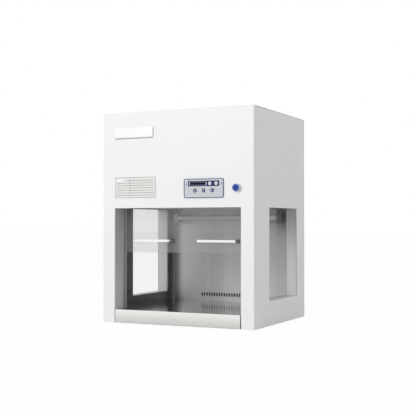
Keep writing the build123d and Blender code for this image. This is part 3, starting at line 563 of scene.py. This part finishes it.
def lamp_tube():
    """Clear quartz tube, denser at its rims, with brushed metal caps, the right one in painted
    shade.
    """
    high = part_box("uv_tube")[1]
    tree = Tree("quartz_tube")
    tree.set(Base_Color=grey(238), Roughness=0.10, IOR=1.46)
    rim = tree.add("ShaderNodeLayerWeight")
    rim.inputs["Blend"].default_value = 0.35
    edge = tree.fade(rim.outputs["Facing"], 0.15, 0.75)
    clear = tree.add("ShaderNodeBsdfTransparent")
    tree.join(tree.mix(edge, grey(240), grey(150)), clear.inputs["Color"])
    frost = tree.noise(tree.place(), scale=260.0)
    body = tree.mix_value(edge, tree.spread(frost, 0.44, 0.54), 0.10)
    glass = tree.mix_shader(body, clear.outputs[0], tree.shader.outputs[0])
    metal = tree.add("ShaderNodeBsdfGlossy")
    metal.inputs["Roughness"].default_value = 0.28
    # the right cap is a darker copy: painted shade
    caps = tree.mix(tree.above("X", 0.0), colour(205, 206, 208), colour(128, 129, 131))
    tree.join(caps, metal.inputs["Color"])
    is_glass = tree.near("X", 0.0, high.x - TUBE_CAP_LENGTH)
    whole = tree.mix_shader(is_glass, metal.outputs[0], glass)
    tree.join(whole, tree.output.inputs["Surface"])
    return tree.material


def panel_film():
    """Silver film with a pale line round it, inside a raised blue-grey rim."""
    middle, half = middle_and_half("control_panel")
    tree = Tree("panel_film")
    fleck = tree.noise(tree.place(), scale=2500.0, detail=2.0)
    film = tree.mix(fleck, colour(174, 178, 182), colour(202, 205, 209))
    in_line = tree.inside("XZ", middle, half, margin=PANEL_RIM + PANEL_LINE)
    in_rim = tree.inside("XZ", middle, half, margin=PANEL_RIM)
    film = tree.mix(in_line, colour(238, 240, 244), film)
    tree.set(
        Base_Color=tree.mix(in_rim, colour(80, 96, 126), film),
        Metallic=0.15,
        Roughness=tree.spread(fleck, 0.34, 0.46),
    )
    tree.bump(fleck, distance=0.01 * MM, strength=0.3, round_edges=0.3 * MM)
    return tree.material


def display_film():
    """Navy film that turns grey round the display's window, with a pale bracket at each end."""
    middle = middle_and_half("display_module")[0]
    tree = Tree("display_film")
    fine = tree.noise(tree.place(), scale=900.0)
    navy = tree.mix(fine, colour(12, 18, 78), colour(22, 28, 92))
    window = tree.mix(fine, colour(62, 68, 96), colour(76, 82, 110))
    film = tree.mix(tree.near("X", middle.x, DISPLAY_HALF + 0.5 * MM), navy, window)
    bracket_end = tree.near("X", middle.x, DISPLAY_HALF + BRACKET_WIDTH)
    bracket_start = tree.near("X", middle.x, DISPLAY_HALF - 0.1 * MM)
    bracket = tree.both(
        tree.math("SUBTRACT", bracket_end, bracket_start),
        tree.near("Z", middle.z, BRACKET_HALF_HEIGHT),
    )
    tree.set(
        Base_Color=tree.mix(bracket, film, colour(226, 228, 236)),
        Roughness=tree.spread(fine, 0.28, 0.38),
        Specular_IOR_Level=0.25,
    )
    tree.bump(fine, distance=0.01 * MM, strength=0.4, round_edges=0.3 * MM)
    return tree.material


def display_face():
    """The display behind its film: a black digit bar between greyer strips."""
    middle = middle_and_half("display_module")[0]
    black = moulded("dark_display", colour(4, 4, 7), 0.4, texture=700.0, depth=0.005 * MM)
    tree = Tree(black.name)
    strips = tree.without(tree.near("Z", middle.z, DIGIT_BAR_HALF))
    tree.paint_over(strips, colour(62, 68, 98))
    tree.set(Specular_IOR_Level=0.1)
    return tree.material


def white_keys():
    """White caps with a navy ring printed round them."""
    white = moulded(
        "white_key", colour(236, 238, 244), 0.3, texture=900.0, depth=0.01 * MM, coat=0.2
    )
    tree = Tree(white.name)
    from_keys = [tree.radius(middle_and_half(key)[0], "XZ") for key in ("key_down", "key_up")]
    nearest = tree.math("MINIMUM", *from_keys)
    tree.paint_over(tree.math("GREATER_THAN", nearest, KEY_RING_RADIUS), PRINTED_NAVY)
    return tree.material


def ruled_label():
    """A bare printed form: a pale film with a border, a blank white field and ruled lines."""
    low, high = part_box("rating_plate")
    middle, half = middle_and_half("rating_plate")
    tree = Tree("label_film")
    fine = tree.noise(tree.place(), scale=1100.0)
    film = tree.mix(fine, colour(224, 226, 222), colour(232, 234, 230))
    level = tree.math("DIVIDE", tree.math("SUBTRACT", tree.axis("Z"), low.z), RULE_PITCH)
    rule = tree.math("LESS_THAN", tree.math("FRACT", level), RULE_SHARE)
    column_x, column_half = middle.x - 18 * MM, 0.5 * MM
    column = tree.near("X", column_x, column_half)
    form = tree.inside("XZ", middle, half, margin=LABEL_MARGIN)
    lines = tree.both(tree.either(rule, column), form)
    border = tree.without(tree.inside("XZ", middle, half, margin=LABEL_BORDER))
    film = tree.mix(tree.either(lines, border), film, colour(92, 95, 94))
    field_middle = Vector((low.x + 19 * MM, 0, high.z - 9 * MM))
    field = tree.inside("XZ", field_middle, Vector((14 * MM, 0, 4 * MM)))
    tree.set(
        Base_Color=tree.mix(field, film, colour(240, 241, 241)),
        Roughness=tree.spread(fine, 0.36, 0.46),
    )
    tree.bump(fine, distance=0.01 * MM, strength=0.4)
    return tree.material


def blank_plate():
    """A blank white plate with painted shade along its bottom and its right edge."""
    low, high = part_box("nameplate")
    white = moulded(
        "raised_plate", colour(243, 243, 244), 0.3, texture=700.0, depth=0.01 * MM, coat=0.2
    )
    tree = Tree(white.name)
    edge = tree.either(
        tree.below("Z", low.z + PLATE_SHADE_BOTTOM), tree.above("X", high.x - PLATE_SHADE_RIGHT)
    )
    # painted shade along the bottom and the right edge
    tree.paint_over(edge, colour(158, 159, 162))
    return tree.material


def push_button():
    """Blue cap: a painted highlight on its rim, a royal blue face and a deeper middle."""
    tree = Tree("push_button_blue")
    radius = tree.radius(middle_and_half("power_button")[0], "XZ")
    outward = tree.fade(radius, 3.0 * MM, 7.5 * MM)
    face = tree.mix(outward, colour(22, 48, 128), colour(36, 70, 164))
    # painted highlight on the rim
    cap = tree.mix(tree.fade(radius, 8.6 * MM, 9.4 * MM), face, colour(72, 106, 188))
    fine = tree.noise(tree.place(), scale=800.0, detail=2.0)
    tree.set(Base_Color=cap, Roughness=tree.spread(fine, 0.24, 0.34), Specular_IOR_Level=0.25)
    tree.bump(fine, distance=0.01 * MM, strength=0.3, round_edges=0.6 * MM)
    return tree.material


def impeller_sheet():
    """Pressed aluminium with turning rings round the fan's axis."""
    tree = Tree("fan_aluminium")
    radius = tree.radius(middle_and_half("impeller")[0], "XY")
    rings = tree.math("FRACT", tree.math("MULTIPLY", radius, RINGS_PER_METRE))
    grain = tree.noise(tree.place(), scale=700.0)
    tree.set(
        Base_Color=tree.mix(grain, colour(186, 188, 192), colour(212, 214, 217)),
        Metallic=0.95,
        Roughness=tree.spread(rings, 0.28, 0.4),
    )
    tree.bump(rings, distance=0.01 * MM, strength=0.3, round_edges=0.4 * MM)
    return tree.material


def pleated_paper():
    """Glass-fibre paper with a fibrous surface."""
    tree = Tree("filter_paper")
    stretched = tree.stretched((600.0, 1500.0, 600.0))
    fibre = tree.noise(stretched, scale=1.0, detail=5.0, roughness=0.7)
    tree.set(
        Base_Color=tree.mix(fibre, colour(226, 226, 220), colour(244, 244, 240)), Roughness=0.95
    )
    tree.bump(fibre, distance=0.1 * MM, strength=0.6)
    return tree.material


def stop_block():
    """Black rubber with a greyer hollow in its face."""
    hollow_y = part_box("sash_stops")[0].y + 1.0 * MM
    middle = middle_and_half("sash_stops")[0]
    tree = Tree(rubber("stop_rubber", colour(44, 44, 46)).name)
    hollow = tree.both(tree.near("Y", hollow_y, 0.5 * MM), tree.near("Z", middle.z, 3 * MM))
    tree.paint_over(hollow, colour(150, 150, 152))
    return tree.material


def window_bead():
    """Silicone bead round each window: a pale lip next to the hole, dark behind it."""
    tree = Tree(rubber("window_seal", colour(104, 104, 106)).name)
    lip = tree.inside("YZ", WINDOW_MIDDLE, WINDOW_HALF, margin=-LIP_WIDTH)
    tree.paint_over(lip, grey(250))
    return tree.material


def wool_pad():
    """Synthetic wool pad with tangled fibres."""
    tree = Tree("filter_wool")
    tangle = tree.noise(tree.place(), scale=420.0, detail=6.0, roughness=0.8)
    clump = tree.noise(tree.place(), scale=45.0)
    tint = tree.mix(clump, colour(196, 202, 206), colour(226, 230, 232))
    tree.set(
        Base_Color=tree.mix(tangle, tint, colour(240, 242, 243)), Roughness=1.0, Sheen_Weight=0.3
    )
    tree.bump(tangle, distance=1.2 * MM, strength=0.7)
    return tree.material


def circuit_board():
    """Green solder mask over fine copper tracks."""
    tree = Tree("circuit_board")
    cells = tree.add("ShaderNodeTexBrick")
    tree.join(tree.place(), cells.inputs["Vector"])
    cells.inputs["Scale"].default_value = 180.0
    cells.inputs["Color1"].default_value = colour(26, 92, 52)
    cells.inputs["Color2"].default_value = colour(34, 108, 62)
    cells.inputs["Mortar"].default_value = colour(60, 132, 84)
    tree.set(Base_Color=cells.outputs["Color"], Roughness=0.35)
    tree.bump(tree.noise(tree.place(), scale=900.0), distance=0.01 * MM, strength=0.4)
    return tree.material


FINE = {"texture": 300.0, "depth": 0.02 * MM}
INK = {"texture": 1500.0, "depth": 0.004 * MM}

white_paint = powder_coat("white_powder_coat")
zinc = spangled_zinc("galvanised_sheet", colour(178, 180, 182))
wall_steel = brushed_steel("stainless_wall", grey(128), 0.16, along="Z", band=0.12)
black_rubber = rubber("black_rubber", colour(28, 28, 30))
guide_metal = plate_metal("anodised_guide", colour(190, 190, 191), 0.45, metallic=0.2)
gloss_white = moulded("gloss_white", grey(255), 0.3, texture=300.0, depth=0.01 * MM, coat=0.2)
lamp_holder = moulded("lamp_holder", colour(162, 162, 163), 0.35, **FINE)
# a darker copy of the holder for the right socket: painted shade
shaded_holder = moulded("lamp_holder_painted_shade", colour(108, 108, 109), 0.35, **FINE)
light_cover = moulded("light_cover", colour(236, 238, 240), 0.5)
grey_case = moulded("grey_case", colour(150, 152, 155), 0.5)
black_case = moulded("black_moulding", colour(26, 26, 28), 0.45)
filter_case = moulded("filter_case", colour(196, 200, 202), 0.45)
navy_key = moulded("navy_key", colour(22, 30, 92), 0.4, texture=900.0, depth=0.01 * MM)
chrome = plate_metal("chromed_barrel", colour(208, 209, 212), 0.18)
motor_can = plate_metal("motor_can", colour(48, 49, 52), 0.4, metallic=0.7)
screw_steel = plate_metal("screw_steel", colour(176, 177, 180), 0.3)
screw_black = plate_metal("screw_black", colour(66, 66, 70), 0.35, metallic=0.8)
pale_ink = moulded("pale_ink", colour(228, 230, 240), 0.4, **INK)
dark_ink = moulded("dark_ink", colour(40, 44, 84), 0.4, **INK)
side_glass = pane("window_glass", grey(253), haze=0.006, reflect=1.2)
front_glass = pane("sash_glass", grey(247), haze=0.075, reflect=1.5)

dress(white_paint, "top_cover")
dress(back_paint(), "back_panel")
dress(side_paint(), "side_panel_left", "side_panel_right")
dress(cabinet_paint(), "front_panel")
dress(
    zinc,
    "base_pan",
    "worktop_rail_left",
    "worktop_rail_right",
    "ceiling_frame",
    "plenum",
    "fan_deck",
    "intake_duct",
    "motor_bracket",
    "filter_clamps",
)
dress(wall_steel, "inner_wall_left", "inner_wall_right")
dress(rear_steel(), "rear_liner")
dress(worktop_steel(), "worktop")
dress(light_cover, "diffuser", "light_strip")
dress(side_glass, "window_pane_left", "window_pane_right")
dress(front_glass, "sash_glass")
dress(window_bead(), "window_gasket_left", "window_gasket_right")
dress(black_rubber, "filter_gasket", "rubber_feet")
dress(stop_block(), "sash_stops")
dress(guide_metal, "sash_guide_left", "sash_guide_right")
dress(gloss_white, "sash_grip_left", "sash_grip_right")
dress(lamp_holder, "uv_socket_left")
dress(shaded_holder, "uv_socket_right")
dress(filter_case, "filter_frame")
dress(pleated_paper(), "filter_pleats")
dress(wool_pad(), "prefilter")
dress(impeller_sheet(), "impeller", "inlet_nozzle")
dress(motor_can, "fan_motor")
dress(lamp_tube(), "uv_tube")
dress(panel_film(), "control_panel")
dress(display_film(), "display_lens")
dress(display_face(), "display_module")
dress(navy_key, "key_fan", "key_light", "key_uv")
dress(white_keys(), "key_down", "key_up")
dress(circuit_board(), "control_board")
dress(chrome, "power_button_bezel", "button_nut")
dress(push_button(), "power_button")
dress(black_case, "contact_module", "mains_inlet")
dress(blank_plate(), "nameplate")
dress(ruled_label(), "rating_plate")
dress(grey_case, "power_supply", "uv_ballast")


# ---------------------------------------------------------------- small fasteners and prints
def in_scene(name, data):
    """An object for a mesh, lamp or camera, in the scene."""
    made = bpy.data.objects.new(name, data)
    bpy.context.scene.collection.objects.link(made)
    return made


def piece(name, work, material, body):
    """Finishes a bmesh as one piece that rides on a body."""
    bmesh.ops.recalc_face_normals(work, faces=work.faces)
    mesh = bpy.data.meshes.new(name)
    work.to_mesh(mesh)
    work.free()
    mesh.materials.append(material)
    made = in_scene(name, mesh)
    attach(made, body)


def loop(work, points):
    """Vertices joined in a closed ring, and the ring's edges."""
    ring = [work.verts.new(point) for point in points]
    return ring, [work.edges.new(pair) for pair in zip(ring, ring[1:] + ring[:1])]


def skirt(work, lower, upper):
    """Faces between two rings with as many vertices."""
    count = len(lower)
    for i in range(count):
        work.faces.new((lower[i], lower[(i + 1) % count], upper[(i + 1) % count], upper[i]))


def circle(radius, height, count=20):
    """Points round the local Z axis."""
    steps = (2 * math.pi * i / count for i in range(count))
    return [Vector((radius * math.cos(a), radius * math.sin(a), height)) for a in steps]


def cross(arm, half, height):
    """The twelve corners of a cross recess."""
    corners = [(arm, half), (half, half), (half, arm)]
    points = []
    for turn in range(4):
        spin = Matrix.Rotation(turn * math.pi / 2, 3, "Z")
        points += [spin @ Vector((x, y, height)) for x, y in corners]
    return points


def screw_head(work, where, outward, radius, turn):
    """A pan head with a cross recess, standing on a surface."""
    facing = Vector(outward).to_track_quat("Z", "Y").to_matrix().to_4x4()
    seat = Matrix.Translation(where) @ facing @ Matrix.Rotation(turn, 4, "Z")
    height = radius * HEAD_HEIGHT_SHARE

    def seated(points):
        return loop(work, [seat @ point for point in points])

    def recess(arm, half, level):
        return seated(cross(radius * arm, radius * half, height * level))

    rings = [seated(circle(radius * share, height * level)) for share, level in HEAD_PROFILE]
    for (lower, _), (upper, _) in zip(rings, rings[1:]):
        skirt(work, lower, upper)
    mouth, mouth_edges = recess(*RECESS_MOUTH)
    bottom, _ = recess(*RECESS_FLOOR)
    skirt(work, mouth, bottom)
    work.faces.new(bottom)
    top_edges = rings[-1][1]
    bmesh.ops.triangle_fill(work, edges=top_edges + mouth_edges, use_beauty=True)
    work.faces.new(reversed(rings[0][0]))


def screw_row(name, places, outward, radius, material):
    """Screws on one face, each turned a little differently."""
    work = bmesh.new()
    for index, place in enumerate(places):
        screw_head(work, Vector(place), outward, radius, SCREW_TURN * index)
    piece(name, work, material, "cabinet")


def printed(work, outline, face_y, middle):
    """A flat printed shape on a face towards the user, from points in mm about a middle."""
    front, back = (
        loop(work, [(middle.x + x * MM, y, middle.z + z * MM) for x, z in outline])[0]
        for y in (face_y - PRINT_THICKNESS, face_y)
    )
    skirt(work, back, front)
    work.faces.new(front)
    work.faces.new(reversed(back))


def petal(angle, inner, outer, half):
    """One blade of the fan sign."""
    steps = [math.pi * i / 6 for i in range(7)]
    points = [
        (inner + (outer - inner) * (1 - math.cos(a)) / 2, half * math.sin(a)) for a in steps
    ]
    points += [(inner + (outer - inner) * 0.5, -half * 0.35)]
    turned = Matrix.Rotation(angle, 2)
    return [tuple(turned @ Vector(point)) for point in points]


def bar(x, z, length, width, angle=0.0):
    """A straight stroke."""
    turned = Matrix.Rotation(angle, 2)
    corners = [(-length, -width), (length, -width), (length, width), (-length, width)]
    placed = [turned @ Vector((a / 2, b / 2)) for a, b in corners]
    return [(point.x + x, point.y + z) for point in placed]


def round_dot(radius, count=14):
    """A filled circle."""
    steps = (2 * math.pi * i / count for i in range(count))
    return [(radius * math.cos(a), radius * math.sin(a)) for a in steps]


# Outlines in millimetres about each key's middle
SIGNS = {
    "key_fan": [petal(math.radians(120 * i + 20), 0.3, 3.6, 1.5) for i in range(3)],
    "key_light": [round_dot(1.7)] + [
        bar(2.9 * math.cos(a), 2.9 * math.sin(a), 1.1, 0.6, a)
        for a in (math.radians(45 * i) for i in range(8))
    ],
    "key_uv": [bar(0, 0, 1.5, 4.4), bar(0, 2.8, 2.4, 0.7), bar(0, -2.8, 2.4, 0.7)],
    "key_down": [[(-2.4, 1.5), (2.4, 1.5), (0, -2.1)]],
    "key_up": [[(-2.4, -1.5), (2.4, -1.5), (0, 2.1)]],
}
KEY_BODIES = {
    "key_fan": "fan_key",
    "key_light": "light_key",
    "key_uv": "uv_key",
    "key_down": "down_key",
    "key_up": "up_key",
}


def key_signs():
    """A generic sign on each key: fan, lamp, tube, down and up."""
    for key_name, outlines in SIGNS.items():
        low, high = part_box(key_name)
        work = bmesh.new()
        for outline in outlines:
            printed(work, outline, low.y, (low + high) / 2)
        on_white = key_name in ("key_down", "key_up")
        ink, slot = (dark_ink, "key_navy") if on_white else (pale_ink, "key_white")
        piece("sign_" + key_name[4:], work, ink, KEY_BODIES[key_name])


def case_fasteners():
    """Pan-head screws that hold the back panel, the top cover and the control panel."""
    low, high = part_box("back_panel")
    side_x, lowest, step = high.x - 7.5 * MM, low.z + 24 * MM, 146.5 * MM
    levels = [lowest + i * step for i in range(5)]
    places = [(side * side_x, high.y, z) for side in (-1, 1) for z in levels]
    top_z, bottom_z, pair_x = high.z - 7 * MM, low.z + 9 * MM, 90 * MM
    places += [(side * pair_x, high.y, z) for z in (top_z, bottom_z) for side in (-1, 1)]
    screw_row("back_panel_screws", places, (0, 1, 0), CASE_SCREW, screw_steel)

    low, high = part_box("top_cover")
    side_x, foremost, step = high.x - 6.5 * MM, low.y + 20 * MM, 150 * MM
    rows = [foremost + i * step for i in range(3)]
    places = [(side * side_x, y, high.z) for side in (-1, 1) for y in rows]
    screw_row("top_cover_screws", places, (0, 0, 1), CASE_SCREW, screw_steel)

    low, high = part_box("control_panel")
    lens_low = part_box("display_lens")[0]
    places = [(x, lens_low.y, lens_low.z + 7 * MM) for x in (low.x + 7 * MM, high.x - 7 * MM)]
    screw_row("control_panel_screws", places, (0, -1, 0), PANEL_SCREW, screw_black)


key_signs()
case_fasteners()


# ---------------------------------------------------------------- stage, light and camera
def floor():
    """A wide pale floor that the camera sees as white, with the hood's shadow on it."""
    mesh = bpy.data.meshes.new("floor")
    turns = ((-1, -1), (1, -1), (1, 1), (-1, 1))
    corners = [(x * FLOOR_REACH, y * FLOOR_REACH, 0) for x, y in turns]
    mesh.from_pydata(corners, [], [(0, 1, 2, 3)])
    made = in_scene("floor", mesh)
    tree = Tree("pale_floor")
    tree.set(Base_Color=grey(243), Roughness=0.7)
    white = tree.add("ShaderNodeEmission")
    white.inputs["Strength"].default_value = 1.0
    to_camera = tree.add("ShaderNodeLightPath").outputs["Is Camera Ray"]
    shown = tree.math("MULTIPLY", to_camera, FLOOR_WHITE)
    whole = tree.mix_shader(shown, tree.shader.outputs[0], white.outputs[0])
    tree.join(whole, tree.output.inputs["Surface"])
    mesh.materials.append(tree.material)


def surroundings():
    """White to the camera, mirrors and glass, and a plain even light to everything else."""
    world = bpy.data.worlds.new("surroundings")
    bpy.context.scene.world = world
    world.use_nodes = True
    tree = Nodes(world.node_tree)
    ray = tree.add("ShaderNodeLightPath").outputs
    seen = tree.math("MAXIMUM", ray["Is Camera Ray"], ray["Is Glossy Ray"])
    seen = tree.math("MAXIMUM", seen, ray["Is Transmission Ray"])
    background = tree.nodes["Background"]
    background.inputs["Color"].default_value = (1, 1, 1, 1)
    tree.join(tree.spread(seen, AMBIENT, 1.0), background.inputs["Strength"])


def soft_lamp(name, place, width, power):
    """A square lamp that looks at the hood's middle."""
    data = bpy.data.lights.new(name, "AREA")
    data.energy = power
    data.size = width
    made = in_scene(name, data)
    made.location = place
    towards = LAMP_TARGET - Vector(place)
    made.rotation_euler = towards.to_track_quat("-Z", "Y").to_euler()


def camera():
    """The photograph's viewpoint."""
    data = bpy.data.cameras.new("camera")
    data.sensor_width = SENSOR
    data.lens = CAMERA_LENS
    made = in_scene("camera", data)
    made.location = CAMERA_PLACE
    made.rotation_euler = (math.radians(90 + CAMERA_PITCH), 0, math.radians(CAMERA_YAW))
    bpy.context.scene.camera = made


floor()
surroundings()
for lamp in LAMPS:
    soft_lamp(*lamp)
camera()
bpy.context.scene.view_settings.view_transform = "Standard"
